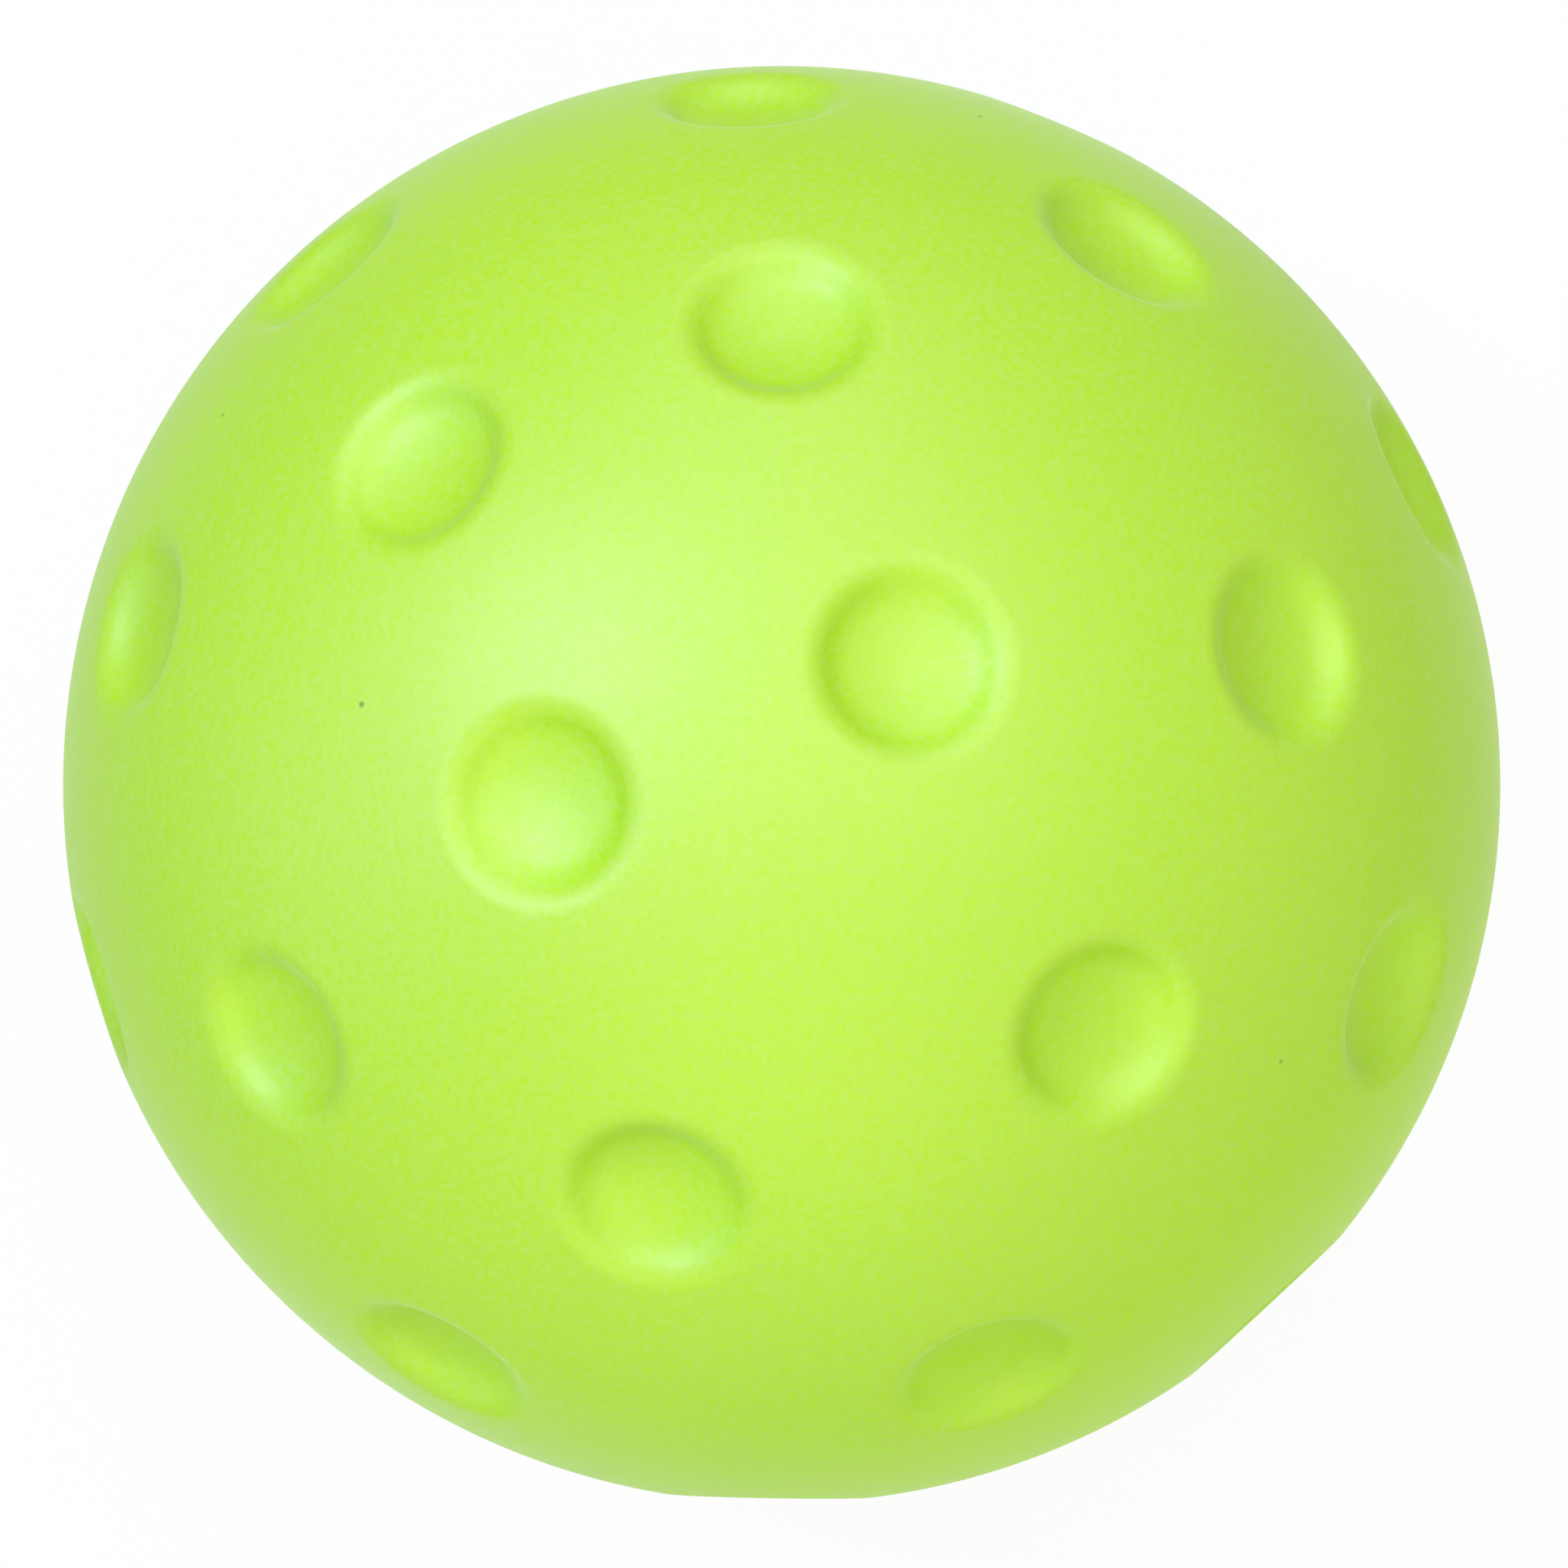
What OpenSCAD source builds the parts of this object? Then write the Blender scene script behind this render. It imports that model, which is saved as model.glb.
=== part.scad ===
// Foam pickleball: a solid foam core in a thin moulded skin, with blind dimples in place of holes.
// Millimetres. The origin is the ball's centre, and +Z is the mould axis through the bare pole.

/* [Ball] */
// Outside diameter of the ball
ball_d = 74; // [66:0.5:90]
// Thickness of the dense outer skin
skin_t = 0.8; // [0.5:0.1:1.5]
// Bond line left between the skin and the core
bond_gap = 0.03; // [0.01:0.01:0.1]

/* [Dimple] */
// Diameter at the middle of the wall
wall_d = 7.8; // [6:0.1:9.5]
// Length of the wall's straight stretch
wall_len = 0.4; // [0.3:0.05:0.8]
// Slope of the wall, measured up from the middle of the floor
wall_angle = 40; // [36:1:56]
// Radius of the hollow floor
bowl_r = 10; // [8.5:0.5:16]
// Radius of the corner between floor and wall
corner_r = 2.8; // [1.6:0.1:3.2]
// Radius of the soft rim between wall and ball
rim_r = 1.7; // [1.2:0.05:2.2]

/* [Dimple pattern] */
// Times that the pattern repeats around the mould axis
folds = 4; // [3:1:5]
// Angle from the pole to the first ring, one dimple in each repeat
first_ring = 21; // [18:0.1:26]
// Angle from the pole to the second ring, a pair in each repeat
second_ring = 50.9; // [46:0.1:56]
// Half of the turn between the two dimples of a pair
pair_half = 21.4; // [17:0.1:24]
// Angle from the pole to the outer dimples that lie in line with the first ring
outer_inline = 76.2; // [72:0.1:79]
// Angle from the pole to the outer dimples that lie between those
outer_between = 76.7; // [72:0.1:79]
// Turn of the lower half's pattern against the upper half's
lower_turn = 22.5; // [0:0.5:45]

/* [Hidden] */

ball_r = ball_d / 2;
sector = 360 / folds;

// Angle at which the rim's round crosses the ball, so that the two never graze each other
rim_cross = 8;
// Least rim radius, for a layer that lies deeper than the rim's own radius
rim_least = 0.15;
// How far a cutter's brow stands out of the ball
over = 1;
// How far the pieces of a section reach past each other, so that their lines cross
bite = 0.001;

ball_fn = 160;
arc_fn = 64;
cutter_fn = 72;

skin_rgb = [0.71, 0.93, 0.29];
core_rgb = [0.83, 0.93, 0.55];

// The wall's direction in the dimple's section, up and out
wall_dir = [cos(wall_angle), sin(wall_angle)];
wall_in = inward(wall_angle);
// Middles of the rounds in the section of the ball's outside, as [radius, height above the ball's centre]
rim_x = wall_d / 2 + wall_len / 2 * wall_dir.x + rim_r * wall_in.x;
rim_mid = [rim_x, sqrt(rim_reach(0, rim_r) ^ 2 - rim_x ^ 2)];
corner_mid = rim_mid - (rim_r + corner_r) * wall_in - wall_len * wall_dir;
bowl_mid = [0, corner_mid.y + sqrt((bowl_r - corner_r) ^ 2 - corner_mid.x ^ 2)];
// Slope at which the floor runs into the corner
bowl_edge = atan2(corner_mid.x, bowl_mid.y - corner_mid.y);

// Places of one half's dimples, as [angle from the pole, turn about the mould axis]
half_pattern = [
    for (k = [0 : folds - 1])
        each [
            [first_ring, k * sector],
            [second_ring, k * sector - pair_half],
            [second_ring, k * sector + pair_half],
            [outer_inline, k * sector],
            [outer_between, (k + 0.5) * sector]
        ]
];
pattern = concat(half_pattern, [for (p = half_pattern) [180 - p[0], p[1] + lower_turn]]);

// Direction into the foam, square to a line of this slope in the dimple's section
function inward(slope) = [sin(slope), -cos(slope)];

// Distance from the ball's centre to the middle of a rim of radius r, in a layer at this depth
function rim_reach(depth, r) =
    sqrt((ball_r - depth) ^ 2 + r ^ 2 - 2 * (ball_r - depth) * r * cos(rim_cross));

// Middle of the rim's round in a layer at this depth, on the line along the wall at distance r
function layer_rim(depth, r) =
    let (
        start = rim_mid + (depth + r - rim_r) * wall_in,
        along = start * wall_dir
    )
    start + (sqrt(along ^ 2 - start * start + rim_reach(depth, r) ^ 2) - along) * wall_dir;

// Slice of a round between two slopes of its surface
module slice(mid, r, slope_from, slope_to) {
    far = r / cos((slope_to - slope_from) / 2) + over;
    intersection() {
        translate(mid) circle(r, $fn = arc_fn);
        polygon([mid, mid + far * inward(slope_from), mid + far * inward(slope_to)]);
    }
}

// Half section of the space that a dimple takes from a layer at a depth below the outside
module dimple_section(depth) {
    corner = corner_r + depth;
    rim = max(rim_r - depth, rim_least);
    rim_at = layer_rim(depth, rim);
    brow = rim_at * (1 + (rim + over) / norm(rim_at));
    inner = corner_mid + corner / 2 * inward(bowl_edge);
    difference() {
        union() {
            slice(bowl_mid, bowl_r + depth, 0, bowl_edge);
            slice(corner_mid, corner + bite, 0, wall_angle + bowl_edge);
            polygon([
                bowl_mid,
                [0, inner.y],
                inner,
                corner_mid + corner * wall_in,
                rim_at - (rim - bite) * wall_in,
                rim_at,
                brow,
                [brow.x, bowl_mid.y]
            ]);
        }
        translate(rim_at) circle(rim, $fn = arc_fn);
    }
}

// Solid ball with all its dimples, at a depth below the outside.
// The sphere lies on its side, so that its own seam follows the bare equator and crosses no dimple.
module dimpled_ball(depth) {
    difference() {
        rotate([90, 0, 0]) sphere(ball_r - depth, $fn = ball_fn);
        for (p = pattern)
            rotate([0, p[0], p[1]])
                rotate_extrude($fn = cutter_fn) dimple_section(depth);
    }
}

module foam_core() {
    color(core_rgb) dimpled_ball(skin_t + bond_gap);
}

module outer_skin() {
    color(skin_rgb)
        difference() {
            dimpled_ball(0);
            dimpled_ball(skin_t);
        }
}

foam_core();
outer_skin();
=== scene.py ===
"""Foam pickleball in the studio: a dimpled lime skin, moulded over a solid foam core.

Metres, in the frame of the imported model: the origin is the ball's centre, and +Z is the mould axis.
"""

import logging
import math
from dataclasses import dataclass, field
from enum import Enum

import bpy
import numpy as np
from mathutils import Matrix, Vector
from mathutils.geometry import delaunay_2d_cdt


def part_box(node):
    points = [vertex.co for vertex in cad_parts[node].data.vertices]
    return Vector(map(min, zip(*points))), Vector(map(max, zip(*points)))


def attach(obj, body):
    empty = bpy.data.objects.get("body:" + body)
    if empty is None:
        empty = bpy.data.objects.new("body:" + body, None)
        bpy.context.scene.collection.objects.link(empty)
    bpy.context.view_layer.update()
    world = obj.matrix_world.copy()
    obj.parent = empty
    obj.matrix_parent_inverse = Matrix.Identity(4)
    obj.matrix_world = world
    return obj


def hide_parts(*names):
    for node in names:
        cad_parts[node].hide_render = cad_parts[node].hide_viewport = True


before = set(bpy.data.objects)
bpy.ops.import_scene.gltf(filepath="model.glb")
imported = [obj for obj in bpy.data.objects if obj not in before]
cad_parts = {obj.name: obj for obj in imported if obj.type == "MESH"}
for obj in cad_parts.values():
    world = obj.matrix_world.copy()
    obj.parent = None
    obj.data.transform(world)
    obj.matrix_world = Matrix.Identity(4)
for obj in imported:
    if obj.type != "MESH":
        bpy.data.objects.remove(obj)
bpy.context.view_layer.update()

MM = 0.001
LOG = logging.getLogger("pickleball")

Colour = tuple[float, float, float]
WHITE: Colour = (1.0, 1.0, 1.0)

# Places of a Mix node's sockets for colours
MIX_FIRST, MIX_SECOND, MIX_RESULT = 6, 7, 2


class Layer(Enum):
    """The surfaces that follow the dimples, from the outside in."""

    SKIN_OUTSIDE = "outside of the skin"
    SKIN_INSIDE = "inside of the skin"
    CORE = "outside of the core"


@dataclass(frozen=True)
class NetSpacing:
    """How closely the points of a net lie.

    Attributes:
        field_gap: distance between the points of the bare field.
        around: points on each ring round a dimple.
        floor_rings: rings on a dimple's floor.
        corner_rings: rings on the hollow corner.
        wall_rings: rings on the sloped wall.
        rim_rings: rings on the soft rim.
        equator: points on the ring where the two halves meet.
    """

    field_gap: float
    around: int
    floor_rings: int
    corner_rings: int
    wall_rings: int
    rim_rings: int
    equator: int


FINE_NET = NetSpacing(
    field_gap=0.62 * MM,
    around=72,
    floor_rings=7,
    corner_rings=11,
    wall_rings=1,
    rim_rings=13,
    equator=480,
)
PLAIN_NET = NetSpacing(
    field_gap=1.4 * MM,
    around=40,
    floor_rings=4,
    corner_rings=6,
    wall_rings=1,
    rim_rings=6,
    equator=320,
)


@dataclass(frozen=True)
class DimpleSection:
    """Half section of a dimple: hollow floor, corner, sloped wall and soft rim.

    A lean is the slope of the section's line, measured up from the floor.

    Attributes:
        ball_r: radius of the ball's outside.
        wall_d: diameter at the middle of the wall.
        wall_len: length of the wall's straight stretch.
        wall_lean: lean of the wall.
        bowl_r: radius of the hollow floor.
        corner_r: radius of the corner between floor and wall.
        rim_r: radius of the soft rim between wall and ball.
    """

    ball_r: float
    wall_d: float = 7.8 * MM
    wall_len: float = 0.4 * MM
    wall_lean: float = math.radians(40)
    bowl_r: float = 10.0 * MM
    corner_r: float = 2.8 * MM
    rim_r: float = 1.7 * MM

    def outline(self, below: float, spacing: NetSpacing) -> np.ndarray:
        """The section's line, from the dimple's middle to where its rim runs into the ball.

        Args:
            below: depth of the layer under the ball's outside.
            spacing: how many points each stretch has.

        Returns:
            Points [radius, height above the ball's centre], one in each row.
        """
        rim_mid, corner_mid, bowl_mid = self._middles()
        bowl_edge = math.atan2(corner_mid[0], bowl_mid[1] - corner_mid[1])
        brow = -math.atan2(rim_mid[0], rim_mid[1])
        bowl_leans = np.linspace(0, bowl_edge, spacing.floor_rings, endpoint=False)
        corner_leans = np.linspace(bowl_edge, self.wall_lean, spacing.corner_rings)
        rim_leans = np.linspace(self.wall_lean, brow, spacing.rim_rings)
        bowl = bowl_mid + (self.bowl_r + below) * self._inward(bowl_leans)
        corner = corner_mid + (self.corner_r + below) * self._inward(corner_leans)
        rim = rim_mid - (self.rim_r - below) * self._inward(rim_leans)
        share = np.linspace(0, 1, spacing.wall_rings + 2)[1:-1, None]
        wall = corner[-1] + share * (rim[0] - corner[-1])
        return np.vstack([bowl, corner, wall, rim])

    def _middles(self) -> tuple[np.ndarray, np.ndarray, np.ndarray]:
        """Middles of the section's rounds.

        Returns:
            The rim's, the corner's and the bowl's middle, as [radius, height].
        """
        along = np.array([math.cos(self.wall_lean), math.sin(self.wall_lean)])
        inward = np.array([along[1], -along[0]])
        rim_x = self.wall_d / 2 + self.wall_len / 2 * along[0] + self.rim_r * inward[0]
        rim_mid = np.array([rim_x, math.sqrt((self.ball_r - self.rim_r) ** 2 - rim_x**2)])
        corner_mid = rim_mid - (self.rim_r + self.corner_r) * inward - self.wall_len * along
        bowl_up = math.sqrt((self.bowl_r - self.corner_r) ** 2 - corner_mid[0] ** 2)
        return rim_mid, corner_mid, np.array([0, corner_mid[1] + bowl_up])

    @staticmethod
    def _inward(leans: np.ndarray) -> np.ndarray:
        """Unit directions into the foam, square to a line of these leans, one in each row."""
        return np.column_stack([np.sin(leans), -np.cos(leans)])


@dataclass(frozen=True)
class DimplePattern:
    """Places of the dimples on the two mould halves.

    Attributes:
        folds: times that the pattern repeats around the mould axis.
        first_ring: angle from the pole to the first ring, one dimple in each repeat.
        second_ring: angle from the pole to the second ring, a pair in each repeat.
        pair_half: half of the turn between the two dimples of a pair.
        outer_inline: angle from the pole to the outer dimples in line with the first ring.
        outer_between: angle from the pole to the outer dimples between those.
        lower_turn: turn of the lower half's pattern against the upper half's.
    """

    folds: int = 4
    first_ring: float = math.radians(21.0)
    second_ring: float = math.radians(50.9)
    pair_half: float = math.radians(21.4)
    outer_inline: float = math.radians(76.2)
    outer_between: float = math.radians(76.7)
    lower_turn: float = math.radians(22.5)

    def upper_half(self) -> np.ndarray:
        """Directions of the upper half's dimples.

        Returns:
            One unit vector in each row.
        """
        sector = 2 * math.pi / self.folds
        places = []
        for turn in sector * np.arange(self.folds):
            places += [
                (self.first_ring, turn),
                (self.second_ring, turn - self.pair_half),
                (self.second_ring, turn + self.pair_half),
                (self.outer_inline, turn),
                (self.outer_between, turn + sector / 2),
            ]
        tilt, turn = np.array(places).T
        return np.column_stack(
            [np.sin(tilt) * np.cos(turn), np.sin(tilt) * np.sin(turn), np.cos(tilt)]
        )

    def to_lower(self) -> np.ndarray:
        """Matrix that mirrors and turns rows of the upper half onto the lower half."""
        cos, sin = math.cos(self.lower_turn), math.sin(self.lower_turn)
        return np.array([[cos, sin, 0], [-sin, cos, 0], [0, 0, -1]])


class BallNet:
    """Triangles over the whole ball, gathered in rings round each dimple.

    Attributes:
        directions: unit vectors from the ball's centre to the net's points.
        angles: each point's angle from the middle of its nearest dimple.
        triangles: corners of each triangle, turned to the outside.
    """

    # Least number of points on a ring, and the number that its count is a multiple of
    LEAST_AROUND = 8
    AROUND_STEP = 4
    # How far the field keeps from the rings and the equator, in gaps of the field
    FIELD_CLEAR = 0.7
    # Distance at which two points of the flat net count as one
    SAME_POINT = 1e-9

    def __init__(self, pattern: DimplePattern, section: DimpleSection, spacing: NetSpacing) -> None:
        """Lays the net.

        Args:
            pattern: where the dimples are.
            section: the dimple's section, whose points give the rings.
            spacing: how closely the points lie.
        """
        self.pattern = pattern
        self.spacing = spacing
        self.field_angle = spacing.field_gap / section.ball_r
        line = section.outline(0, spacing)
        self.ring_angles = np.arctan2(line[1:, 0], line[1:, 1])
        half, corners = self._upper_half()
        self.directions, self.triangles = self._with_lower_half(half, corners)
        self.angles = self._nearest_angle(self.directions)

    def _upper_half(self) -> tuple[np.ndarray, np.ndarray]:
        """Points and triangles of the upper half, with the equator's ring as the last points.

        Returns:
            The points' directions and the triangles' corners.
        """
        rings = [self._rings_round(axis) for axis in self.pattern.upper_half()]
        points = np.vstack([*rings, self._field(), self._equator()])
        # Seen from the lower pole, circles of the ball stay circles, so its net is the plane's
        plane = points[:, :2] / (1 + points[:, 2:])
        flat = [Vector(point) for point in plane.tolist()]
        _, _, faces, origins, _, _ = delaunay_2d_cdt(flat, [], [], 0, self.SAME_POINT)
        source = np.array([origin[0] for origin in origins])
        corners = source[np.array(faces)]
        a, b, c = (plane[corners[:, k]] for k in range(3))
        turned = (b - a)[:, 0] * (c - a)[:, 1] < (b - a)[:, 1] * (c - a)[:, 0]
        corners[turned] = corners[turned][:, ::-1]
        return points, corners

    def _with_lower_half(
        self, half: np.ndarray, corners: np.ndarray
    ) -> tuple[np.ndarray, np.ndarray]:
        """Adds the lower half, which is the upper one mirrored and turned, on the same equator.

        Args:
            half: the upper half's points, the equator's ring last.
            corners: the upper half's triangles.

        Returns:
            The whole ball's points and triangles.
        """
        ring = self.spacing.equator
        inner = len(half) - ring
        turned = half[:inner] @ self.pattern.to_lower()
        step = round(self.pattern.lower_turn / (2 * math.pi) * ring)
        index = np.empty(len(half), int)
        index[:inner] = len(half) + np.arange(inner)
        index[inner:] = inner + (np.arange(ring) + step) % ring
        return np.vstack([half, turned]), np.vstack([corners, index[corners][:, ::-1]])

    def _rings_round(self, axis: np.ndarray) -> np.ndarray:
        """Points of the rings round one dimple, with its middle first.

        Args:
            axis: direction of the dimple's middle.

        Returns:
            The points' directions.
        """
        side = np.cross(axis, (0, 0, 1))
        side /= np.linalg.norm(side)
        up = np.cross(side, axis)
        points = [axis[None]]
        widest = math.sin(self.ring_angles[-1])
        for angle in self.ring_angles:
            share = math.sqrt(math.sin(angle) / widest)
            steps = round(self.spacing.around * share / self.AROUND_STEP)
            count = max(self.LEAST_AROUND, self.AROUND_STEP * steps)
            turns = np.linspace(0, 2 * math.pi, count, endpoint=False)[:, None]
            round_axis = np.cos(turns) * side + np.sin(turns) * up
            points.append(math.cos(angle) * axis + math.sin(angle) * round_axis)
        return np.vstack(points)

    def _field(self) -> np.ndarray:
        """Evenly spread points of the bare field between the dimples and above the equator.

        Returns:
            The points' directions.
        """
        count = round(4 * math.pi / (self.field_angle**2 * math.sqrt(3) / 2))
        order = np.arange(count) + 0.5
        height = 1 - 2 * order / count
        turn = order * math.pi * (3 - math.sqrt(5))
        flat = np.sqrt(1 - height**2)
        points = np.column_stack([flat * np.cos(turn), flat * np.sin(turn), height])
        clear = self.FIELD_CLEAR * self.field_angle
        points = points[points[:, 2] > clear]
        return points[self._nearest_angle(points) > self.ring_angles[-1] + clear]

    def _equator(self) -> np.ndarray:
        """Directions of the points on the ring where the two halves meet."""
        turn = np.linspace(0, 2 * math.pi, self.spacing.equator, endpoint=False)
        return np.column_stack([np.cos(turn), np.sin(turn), np.zeros_like(turn)])

    def _nearest_angle(self, points: np.ndarray) -> np.ndarray:
        """Angle from each point to the middle of its nearest dimple.

        Args:
            points: unit vectors, one in each row.

        Returns:
            One angle for each point.
        """
        upper = self.pattern.upper_half()
        nearest = np.full(len(points), -1.0)
        for axis in np.vstack([upper, upper @ self.pattern.to_lower()]):
            nearest = np.maximum(nearest, points @ axis)
        return np.arccos(np.clip(nearest, -1, 1))


@dataclass
class Ball:
    """The sizes that skin and core share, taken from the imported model.

    Attributes:
        radius: radius of the ball's outside.
        core_r: radius of the core's outside.
        skin_t: thickness of the skin.
        pattern: places of the dimples.
        section: section of a dimple.
    """

    radius: float = field(default_factory=lambda: max(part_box("outer_skin")[1]))
    core_r: float = field(default_factory=lambda: max(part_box("foam_core")[1]))
    skin_t: float = 0.8 * MM
    pattern: DimplePattern = field(default_factory=DimplePattern)
    section: DimpleSection = field(init=False)

    def __post_init__(self) -> None:
        """Ties the dimple's section to the ball."""
        self.section = DimpleSection(self.radius)

    def depth_of(self, layer: Layer) -> float:
        """Depth of a layer below the ball's outside.

        Args:
            layer: which surface.

        Returns:
            The depth in metres.
        """
        depths = {
            Layer.SKIN_OUTSIDE: 0.0,
            Layer.SKIN_INSIDE: self.skin_t,
            Layer.CORE: self.radius - self.core_r,
        }
        return depths[layer]

    def surface(self, layer: Layer, spacing: NetSpacing) -> tuple[np.ndarray, np.ndarray]:
        """Points and triangles of one layer, dimples included.

        Args:
            layer: which surface.
            spacing: how closely its points lie.

        Returns:
            The points in metres and the triangles' corners.
        """
        net = BallNet(self.pattern, self.section, spacing)
        below = self.depth_of(layer)
        # The line is the fine one for each net, so that coarse nets lie on the same surface
        line = self.section.outline(below, FINE_NET)
        line_angles = np.arctan2(line[:, 0], line[:, 1])
        line_radii = np.hypot(line[:, 0], line[:, 1])
        radii = np.interp(net.angles, line_angles, line_radii, right=self.radius - below)
        return net.directions * radii[:, None], net.triangles


class NodeBench:
    """Lays the nodes of one material or sky and joins them."""

    def __init__(self, owner: bpy.types.Material | bpy.types.World) -> None:
        """Starts with an empty tree.

        Args:
            owner: the material or the world that gets the nodes.
        """
        owner.use_nodes = True
        self.tree = owner.node_tree
        self.tree.nodes.clear()

    def add(self, kind: str, **settings: object) -> bpy.types.Node:
        """Adds a node and sets its own options.

        Args:
            kind: Blender's name of the node's type.
            **settings: the node's options.

        Returns:
            The new node.
        """
        node = self.tree.nodes.new(kind)
        for key, value in settings.items():
            setattr(node, key, value)
        return node

    def join(self, source: bpy.types.NodeSocket, target: bpy.types.NodeSocket) -> None:
        """Joins an output to an input."""
        self.tree.links.new(source, target)

    def noise(self, scale: float, detail: float, roughness: float) -> bpy.types.NodeSocket:
        """A noise over the object, in features to the metre.

        Args:
            scale: features to the metre.
            detail: octaves of finer noise.
            roughness: strength of the finer octaves.

        Returns:
            The noise's factor.
        """
        place = self.add("ShaderNodeTexCoord")
        node = self.add("ShaderNodeTexNoise")
        node.inputs["Scale"].default_value = scale
        node.inputs["Detail"].default_value = detail
        node.inputs["Roughness"].default_value = roughness
        self.join(place.outputs["Object"], node.inputs["Vector"])
        return node.outputs["Fac"]

    def cells(self, scale: float, feature: str) -> bpy.types.Node:
        """Cells over the object.

        Args:
            scale: cells to the metre.
            feature: which distance the cells give.

        Returns:
            The cells' node.
        """
        place = self.add("ShaderNodeTexCoord")
        node = self.add("ShaderNodeTexVoronoi", feature=feature)
        node.inputs["Scale"].default_value = scale
        self.join(place.outputs["Object"], node.inputs["Vector"])
        return node

    def spread(
        self, source: bpy.types.NodeSocket, low: float, high: float, out_low: float, out_high: float
    ) -> bpy.types.NodeSocket:
        """Maps a range of a value to another range.

        Args:
            source: the value.
            low: start of its range.
            high: end of its range.
            out_low: what the start becomes.
            out_high: what the end becomes.

        Returns:
            The mapped value.
        """
        node = self.add("ShaderNodeMapRange")
        node.inputs["From Min"].default_value = low
        node.inputs["From Max"].default_value = high
        node.inputs["To Min"].default_value = out_low
        node.inputs["To Max"].default_value = out_high
        self.join(source, node.inputs["Value"])
        return node.outputs["Result"]

    def reckon(
        self, operation: str, first: bpy.types.NodeSocket, second: bpy.types.NodeSocket | float
    ) -> bpy.types.NodeSocket:
        """Reckons with two values.

        Args:
            operation: Blender's name of the operation.
            first: the first value.
            second: the second value, as a socket or a number.

        Returns:
            The result.
        """
        node = self.add("ShaderNodeMath", operation=operation)
        self.join(first, node.inputs[0])
        if isinstance(second, bpy.types.NodeSocket):
            self.join(second, node.inputs[1])
        else:
            node.inputs[1].default_value = second
        return node.outputs["Value"]

    def blend(
        self, factor: bpy.types.NodeSocket, first: Colour | bpy.types.NodeSocket, second: Colour
    ) -> bpy.types.NodeSocket:
        """A colour between two, by a factor.

        Args:
            factor: 0 for the first colour, 1 for the second.
            first: the first colour, or the socket that gives it.
            second: the second colour.

        Returns:
            The mixed colour.
        """
        node = self.add("ShaderNodeMix", data_type="RGBA")
        if isinstance(first, bpy.types.NodeSocket):
            self.join(first, node.inputs[MIX_FIRST])
        else:
            node.inputs[MIX_FIRST].default_value = (*first, 1)
        node.inputs[MIX_SECOND].default_value = (*second, 1)
        self.join(factor, node.inputs[0])
        return node.outputs[MIX_RESULT]

    def bump(
        self, height: bpy.types.NodeSocket, distance: float, invert: bool
    ) -> bpy.types.NodeSocket:
        """Relief of the surface.

        Args:
            height: the relief's height, from 0 to 1.
            distance: what a height of 1 measures.
            invert: whether the relief goes inward.

        Returns:
            The normals of the relief.
        """
        node = self.add("ShaderNodeBump", invert=invert)
        node.inputs["Distance"].default_value = distance
        self.join(height, node.inputs["Height"])
        return node.outputs["Normal"]

    def seen_rays(self) -> bpy.types.NodeSocket:
        """Tells rays that are seen from light that is scattered.

        Returns:
            1 for rays from the camera, from gloss and through glass, 0 for all others.
        """
        path = self.add("ShaderNodeLightPath")
        value = path.outputs["Is Camera Ray"]
        for name in ("Is Glossy Ray", "Is Transmission Ray"):
            value = self.reckon("MAXIMUM", value, path.outputs[name])
        return value

    def show(self, shader: bpy.types.NodeSocket, output: str = "ShaderNodeOutputMaterial") -> None:
        """Hands the finished shader to the tree's output."""
        self.join(shader, self.add(output).inputs["Surface"])


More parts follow.
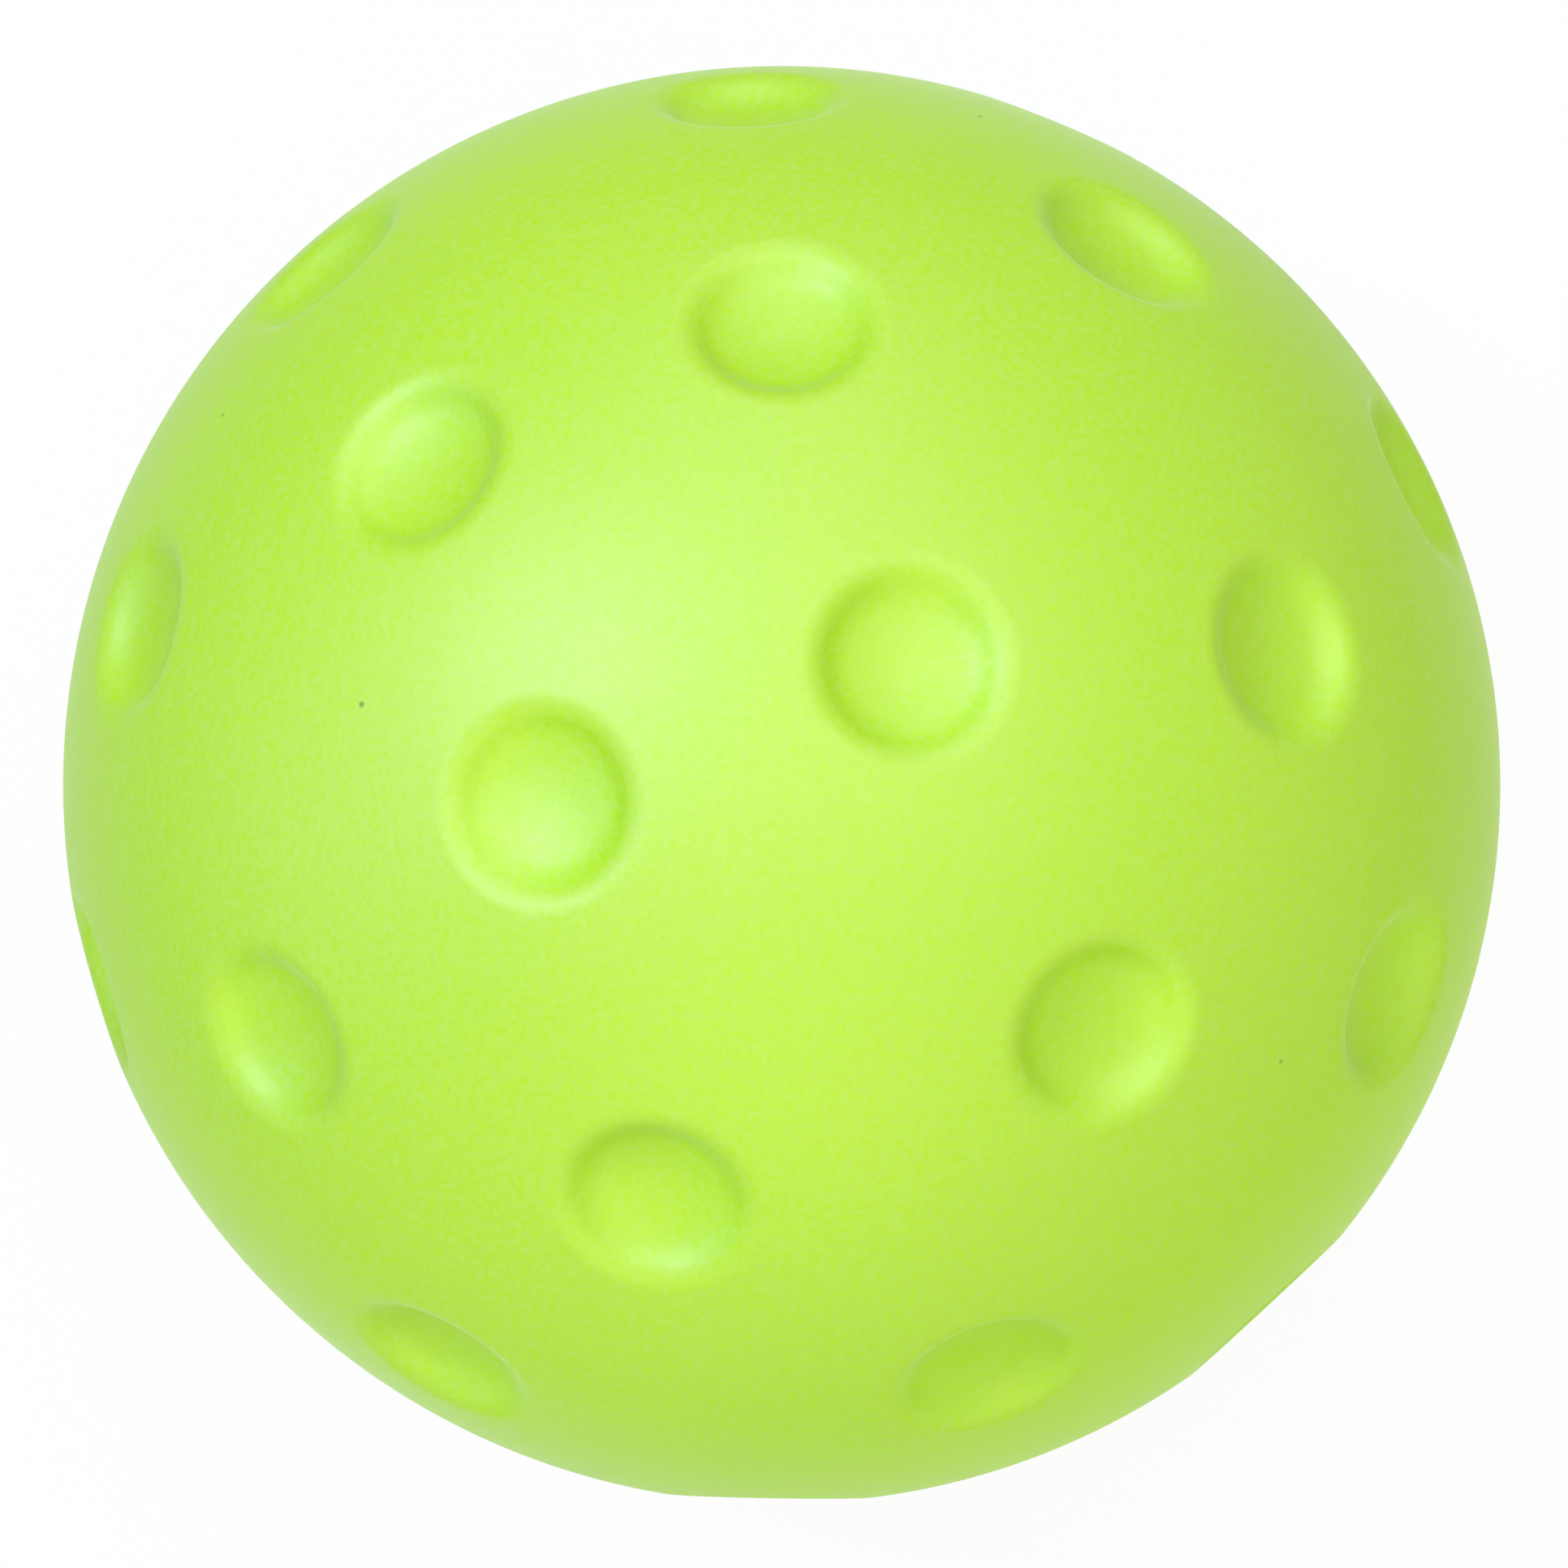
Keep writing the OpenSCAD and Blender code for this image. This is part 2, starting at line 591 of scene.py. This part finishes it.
@dataclass(frozen=True)
class LimeSkinFinish:
    """Matte moulded skin, lime green with a very fine mottle and a few dark specks.

    Attributes:
        pale: colour of the mottle's pale spots.
        deep: colour of its deep spots.
        speck: colour of the specks.
        roughness: roughness of the gloss.
        ior: the skin's index of refraction.
        sheen: weight of the pale sheen that shows at the edge.
        sheen_roughness: roughness of the sheen.
        gloss_front: strength of the gloss where the skin faces the eye, 0.5 for common plastics.
        gloss_edge: strength of the gloss where the skin turns away from the eye.
        gloss_turn: how far the skin is turned away where the gloss starts and ends to weaken.
        mottle: features of the mottle's broadest octave to the metre.
        mottle_range: heights of the noise that become deep and pale spots.
        grain: features of the surface's grain to the metre.
        grain_height: height of the grain.
        speck_cells: cells to the metre, of which a few hold a speck.
        speck_level: lightness of a cell's random colour, below which it holds a speck.
        speck_edge: distances from a speck's middle, in cells, at which it starts and ends to fade.
    """

    pale: Colour = (0.474, 0.774, 0.062)
    deep: Colour = (0.450, 0.770, 0.001)
    speck: Colour = (0.20, 0.31, 0.02)
    roughness: float = 0.54
    ior: float = 1.6
    sheen: float = 0.22
    sheen_roughness: float = 0.4
    gloss_front: float = 1.0
    gloss_edge: float = 0.15
    gloss_turn: tuple[float, float] = (0.05, 0.5)
    mottle: float = 2600.0
    mottle_range: tuple[float, float] = (0.3, 0.7)
    grain: float = 4500.0
    grain_height: float = 0.01 * MM
    speck_cells: float = 300.0
    speck_level: float = 0.2
    speck_edge: tuple[float, float] = (0.025, 0.06)

    def material(self) -> bpy.types.Material:
        """Lays the finish's nodes.

        Returns:
            The finish as a material.
        """
        material = bpy.data.materials.new("lime_skin")
        bench = NodeBench(material)
        skin = bench.add("ShaderNodeBsdfPrincipled")
        skin.inputs["Roughness"].default_value = self.roughness
        skin.inputs["IOR"].default_value = self.ior
        skin.inputs["Sheen Weight"].default_value = self.sheen
        skin.inputs["Sheen Roughness"].default_value = self.sheen_roughness
        turned = bench.add("ShaderNodeLayerWeight").outputs["Facing"]
        gloss = bench.spread(turned, *self.gloss_turn, self.gloss_front, self.gloss_edge)
        grain = bench.noise(self.grain, detail=2, roughness=0.5)
        bench.join(gloss, skin.inputs["Specular IOR Level"])
        bench.join(self._colour(bench), skin.inputs["Base Color"])
        bench.join(bench.bump(grain, self.grain_height, invert=False), skin.inputs["Normal"])
        bench.show(skin.outputs["BSDF"])
        return material

    def _colour(self, bench: NodeBench) -> bpy.types.NodeSocket:
        """The mottled colour with its specks.

        Args:
            bench: the material's bench.

        Returns:
            The colour.
        """
        noise = bench.noise(self.mottle, detail=1, roughness=0.6)
        lime = bench.blend(bench.spread(noise, *self.mottle_range, 0, 1), self.deep, self.pale)
        cells = bench.cells(self.speck_cells, "F1")
        chosen = bench.reckon("LESS_THAN", cells.outputs["Color"], self.speck_level)
        spot = bench.spread(cells.outputs["Distance"], *self.speck_edge, 1, 0)
        return bench.blend(bench.reckon("MULTIPLY", spot, chosen), lime, self.speck)


@dataclass(frozen=True)
class FoamFinish:
    """Fine-celled pale lime foam, with painted shade darkening the hollows of its cells.

    Attributes:
        wall: colour of the cells' walls.
        hollow: darker colour in the cells' hollows, painted shade where light reaches less.
        roughness: roughness of the surface.
        cells: cells to the metre.
        cell_edge: distances from a cell's edge, in cells, where wall ends and hollow starts.
        cell_depth: depth of the hollows.
    """

    wall: Colour = (0.66, 0.85, 0.27)
    hollow: Colour = (0.46, 0.66, 0.12)
    roughness: float = 0.9
    cells: float = 1100.0
    cell_edge: tuple[float, float] = (0.04, 0.3)
    cell_depth: float = 0.2 * MM

    def material(self) -> bpy.types.Material:
        """Lays the finish's nodes.

        Returns:
            The finish as a material.
        """
        material = bpy.data.materials.new("foam")
        bench = NodeBench(material)
        foam = bench.add("ShaderNodeBsdfPrincipled")
        foam.inputs["Roughness"].default_value = self.roughness
        cells = bench.cells(self.cells, "DISTANCE_TO_EDGE")
        # The hollows get the darker colour as painted shade, besides the inward bump.
        hollow = bench.spread(cells.outputs["Distance"], *self.cell_edge, 0, 1)
        bench.join(bench.blend(hollow, self.wall, self.hollow), foam.inputs["Base Color"])
        bench.join(bench.bump(hollow, self.cell_depth, invert=True), foam.inputs["Normal"])
        bench.show(foam.outputs["BSDF"])
        return material


@dataclass(frozen=True)
class FloorFinish:
    """Plain white floor, which keeps a faint shadow of the ball.

    Attributes:
        colour: the floor's colour.
        glow: share of plain white that the camera and mirrors see over the lit floor.
    """

    colour: Colour = (0.86, 0.86, 0.86)
    glow: float = 0.95

    def material(self) -> bpy.types.Material:
        """Lays the finish's nodes.

        Returns:
            The finish as a material.
        """
        material = bpy.data.materials.new("white_floor")
        bench = NodeBench(material)
        lit = bench.add("ShaderNodeBsdfDiffuse")
        lit.inputs["Color"].default_value = (*self.colour, 1)
        white = bench.add("ShaderNodeEmission")
        white.inputs["Color"].default_value = (*WHITE, 1)
        mix = bench.add("ShaderNodeMixShader")
        bench.join(bench.reckon("MULTIPLY", bench.seen_rays(), self.glow), mix.inputs["Fac"])
        bench.join(lit.outputs["BSDF"], mix.inputs[1])
        bench.join(white.outputs["Emission"], mix.inputs[2])
        bench.show(mix.outputs["Shader"])
        return material


def mesh_piece(name: str, points: np.ndarray, triangles: np.ndarray) -> bpy.types.Object:
    """A smooth mesh object, linked to the scene.

    Args:
        name: the piece's name.
        points: its points in metres.
        triangles: its triangles' corners.

    Returns:
        The new object.
    """
    mesh = bpy.data.meshes.new(name)
    mesh.from_pydata(points.tolist(), [], triangles.tolist())
    mesh.shade_smooth()
    mesh.update()
    piece = bpy.data.objects.new(name, mesh)
    bpy.context.scene.collection.objects.link(piece)
    return piece


@dataclass
class OuterSkin:
    """The dense moulded skin: a closed shell with the dimples on both of its faces.

    Attributes:
        ball: the sizes that it shares with the core.
        finish: its finish.
        piece: the built object.
    """

    ball: Ball
    finish: LimeSkinFinish = LimeSkinFinish()
    piece: bpy.types.Object | None = None

    def build(self) -> None:
        """Makes the shell from its outer and its inner face."""
        outside, outside_faces = self.ball.surface(Layer.SKIN_OUTSIDE, FINE_NET)
        inside, inside_faces = self.ball.surface(Layer.SKIN_INSIDE, PLAIN_NET)
        points = np.vstack([outside, inside])
        faces = np.vstack([outside_faces, inside_faces[:, ::-1] + len(outside)])
        self.piece = mesh_piece("moulded_skin", points, faces)

    def dress(self) -> None:
        """Gives the shell its finish and its place in the frame."""
        self.piece.data.materials.append(self.finish.material())
        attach(self.piece, "root")
        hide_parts("outer_skin")


@dataclass
class FoamCore:
    """The solid foam inside, which fills the skin.

    Attributes:
        ball: the sizes that it shares with the skin.
        finish: its finish.
        piece: the built object.
    """

    ball: Ball
    finish: FoamFinish = FoamFinish()
    piece: bpy.types.Object | None = None

    def build(self) -> None:
        """Makes the core, with the dimples that the skin presses into it."""
        self.piece = mesh_piece("foam_body", *self.ball.surface(Layer.CORE, PLAIN_NET))

    def dress(self) -> None:
        """Gives the core its finish and its place in the frame."""
        self.piece.data.materials.append(self.finish.material())
        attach(self.piece, "root")
        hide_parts("foam_core")


@dataclass(frozen=True)
class PhotoCamera:
    """The photograph's camera, fitted to the ball's outline and the places of its dimples.

    Attributes:
        photo_px: width and height of the photograph in pixels.
        outline_px: radius of the ball's outline.
        middle_px: middle of the outline, from the left and from the top.
        distance_r: distance from the ball's centre, in radii of the ball.
        pole_right: lean of the mould axis to the right of the line of sight, as a slope.
        pole_up: lean of the mould axis above the line of sight, as a slope.
        roll: turn of the ball about its mould axis.
        sensor: width of the film in millimetres.
    """

    photo_px: float = 1932.0
    outline_px: float = 885.5
    middle_px: tuple[float, float] = (963.2, 966.8)
    distance_r: float = 10.0
    pole_right: float = -0.176
    pole_up: float = 0.331
    roll: float = math.radians(64.1)
    sensor: float = 36.0

    def axes(self) -> Matrix:
        """The camera's directions in the ball's frame.

        Returns:
            Right, up and back, as columns.
        """
        pole = Vector((self.pole_right, self.pole_up, 1)).normalized()
        right = (Vector((1, 0, 0)) - pole.x * pole).normalized()
        up = pole.cross(right)
        ball_x = math.cos(self.roll) * right + math.sin(self.roll) * up
        ball_y = math.cos(self.roll) * up - math.sin(self.roll) * right
        return Matrix((ball_x, ball_y, pole))

    def build(self, ball_r: float) -> None:
        """Makes the camera and hands it to the scene.

        Args:
            ball_r: radius of the ball.
        """
        lens = bpy.data.cameras.new("photo_camera")
        half_angle_tan = 1 / math.sqrt(self.distance_r**2 - 1)
        lens.sensor_width = self.sensor
        lens.lens = self.sensor * self.outline_px / self.photo_px / half_angle_tan
        lens.shift_x = 0.5 - self.middle_px[0] / self.photo_px
        lens.shift_y = self.middle_px[1] / self.photo_px - 0.5
        lens.clip_start = ball_r
        camera = bpy.data.objects.new("photo_camera", lens)
        place = self.axes().to_4x4()
        place.translation = place @ Vector((0, 0, self.distance_r * ball_r))
        camera.matrix_world = place
        bpy.context.scene.collection.objects.link(camera)
        bpy.context.scene.camera = camera


@dataclass(frozen=True)
class Softbox:
    """A soft studio lamp, placed round the camera's line of sight and aimed at the ball.

    Attributes:
        name: what the lamp does.
        tilt: angle in degrees between the lamp and the camera, seen from the ball.
        around: turn in degrees round the line of sight, from the right and towards the top.
        width: side of its square face.
        power: power in watts.
        tint: colour of its light.
        distance: distance from the ball's centre.
    """

    name: str
    tilt: float
    around: float
    width: float
    power: float
    tint: Colour = WHITE
    distance: float = 0.8

    def build(self, axes: Matrix) -> None:
        """Makes the lamp.

        Args:
            axes: the camera's right, up and back directions, as columns.
        """
        tilt, around = math.radians(self.tilt), math.radians(self.around)
        towards = axes @ Vector(
            (math.sin(tilt) * math.cos(around), math.sin(tilt) * math.sin(around), math.cos(tilt))
        )
        face = bpy.data.lights.new(self.name, "AREA")
        face.shape = "SQUARE"
        face.size = self.width
        face.energy = self.power
        face.color = self.tint
        lamp = bpy.data.objects.new(self.name, face)
        lamp.location = towards * self.distance
        lamp.rotation_mode = "QUATERNION"
        lamp.rotation_quaternion = towards.to_track_quat("Z", "Y")
        bpy.context.scene.collection.objects.link(lamp)


@dataclass
class Studio:
    """Floor, sky and lamps round the ball.

    Attributes:
        camera: the photograph's camera.
        floor_z: height of the floor.
        floor_w: side of the floor.
        sky: strength of the even light from all round.
        horizon: heights between which the white that is seen above the floor fades out, as sines.
        lamps: the soft lamps.
    """

    camera: PhotoCamera
    floor_z: float
    floor_w: float = 8.0
    sky: float = 0.17
    horizon: tuple[float, float] = (0.17, 0.42)
    lamps: tuple[Softbox, ...] = (
        Softbox("key_upper_left", 40, 150, 0.28, 2.62, (0.86, 0.95, 1.40)),
        Softbox("front", 0, 0, 0.40, 0.50, (1.0, 1.0, 0.85)),
        Softbox("left", 25, 180, 0.36, 0.38),
        Softbox("upper_right", 25, 60, 0.36, 0.95, (1.0, 1.0, 0.8)),
        Softbox("front_right", 25, 0, 0.36, 0.76, (1.0, 1.0, 0.7)),
        Softbox("right", 45, 45, 0.40, 0.46, (1.0, 1.0, 0.7)),
        Softbox("below", 45, 270, 0.60, 2.00, (0.95, 1.0, 0.3)),
        Softbox("back", 65, 90, 0.40, 1.35, (0.95, 1.0, 1.1)),
        Softbox("rim_left", 75, 185, 0.40, 0.60, (0.25, 0.55, 1.7)),
    )

    def build(self) -> None:
        """Makes the floor, the sky and the lamps."""
        self._floor()
        self._sky()
        for lamp in self.lamps:
            lamp.build(self.camera.axes())

    def _floor(self) -> None:
        """Lays the floor that the ball rests on."""
        half = self.floor_w / 2
        corners = [(-half, -half, 0), (half, -half, 0), (half, half, 0), (-half, half, 0)]
        mesh = bpy.data.meshes.new("floor")
        mesh.from_pydata(corners, [], [(0, 1, 2, 3)])
        floor = bpy.data.objects.new("floor", mesh)
        floor.location.z = self.floor_z
        floor.data.materials.append(FloorFinish().material())
        bpy.context.scene.collection.objects.link(floor)

    def _sky(self) -> None:
        """Sets an even dim sky, with a white horizon for the camera and mirrors."""
        world = bpy.data.worlds.new("sky")
        bpy.context.scene.world = world
        bench = NodeBench(world)
        back = bench.add("ShaderNodeBackground")
        back.inputs["Color"].default_value = (*WHITE, 1)
        place = bench.add("ShaderNodeTexCoord")
        height = bench.add("ShaderNodeSeparateXYZ")
        bench.join(place.outputs["Generated"], height.inputs["Vector"])
        white = bench.spread(height.outputs["Z"], *self.horizon, 1, 0)
        seen = bench.reckon("MULTIPLY", white, bench.seen_rays())
        bench.join(bench.spread(seen, 0, 1, self.sky, 1), back.inputs["Strength"])
        bench.show(back.outputs["Background"], "ShaderNodeOutputWorld")


def main() -> None:
    """Builds the ball and its studio, piece by piece."""
    logging.basicConfig(level=logging.INFO, format="%(name)s: %(message)s")
    bpy.context.scene.view_settings.view_transform = "Standard"
    ball = Ball()
    for part in (FoamCore(ball), OuterSkin(ball)):
        part.build()
        part.dress()
        LOG.info("%s: %d points", part.piece.name, len(part.piece.data.vertices))
    camera = PhotoCamera()
    camera.build(ball.radius)
    LOG.info("camera at %.0f mm", camera.distance_r * ball.radius / MM)
    Studio(camera, -ball.radius).build()
    LOG.info("studio lit")


if __name__ == "__main__":
    main()
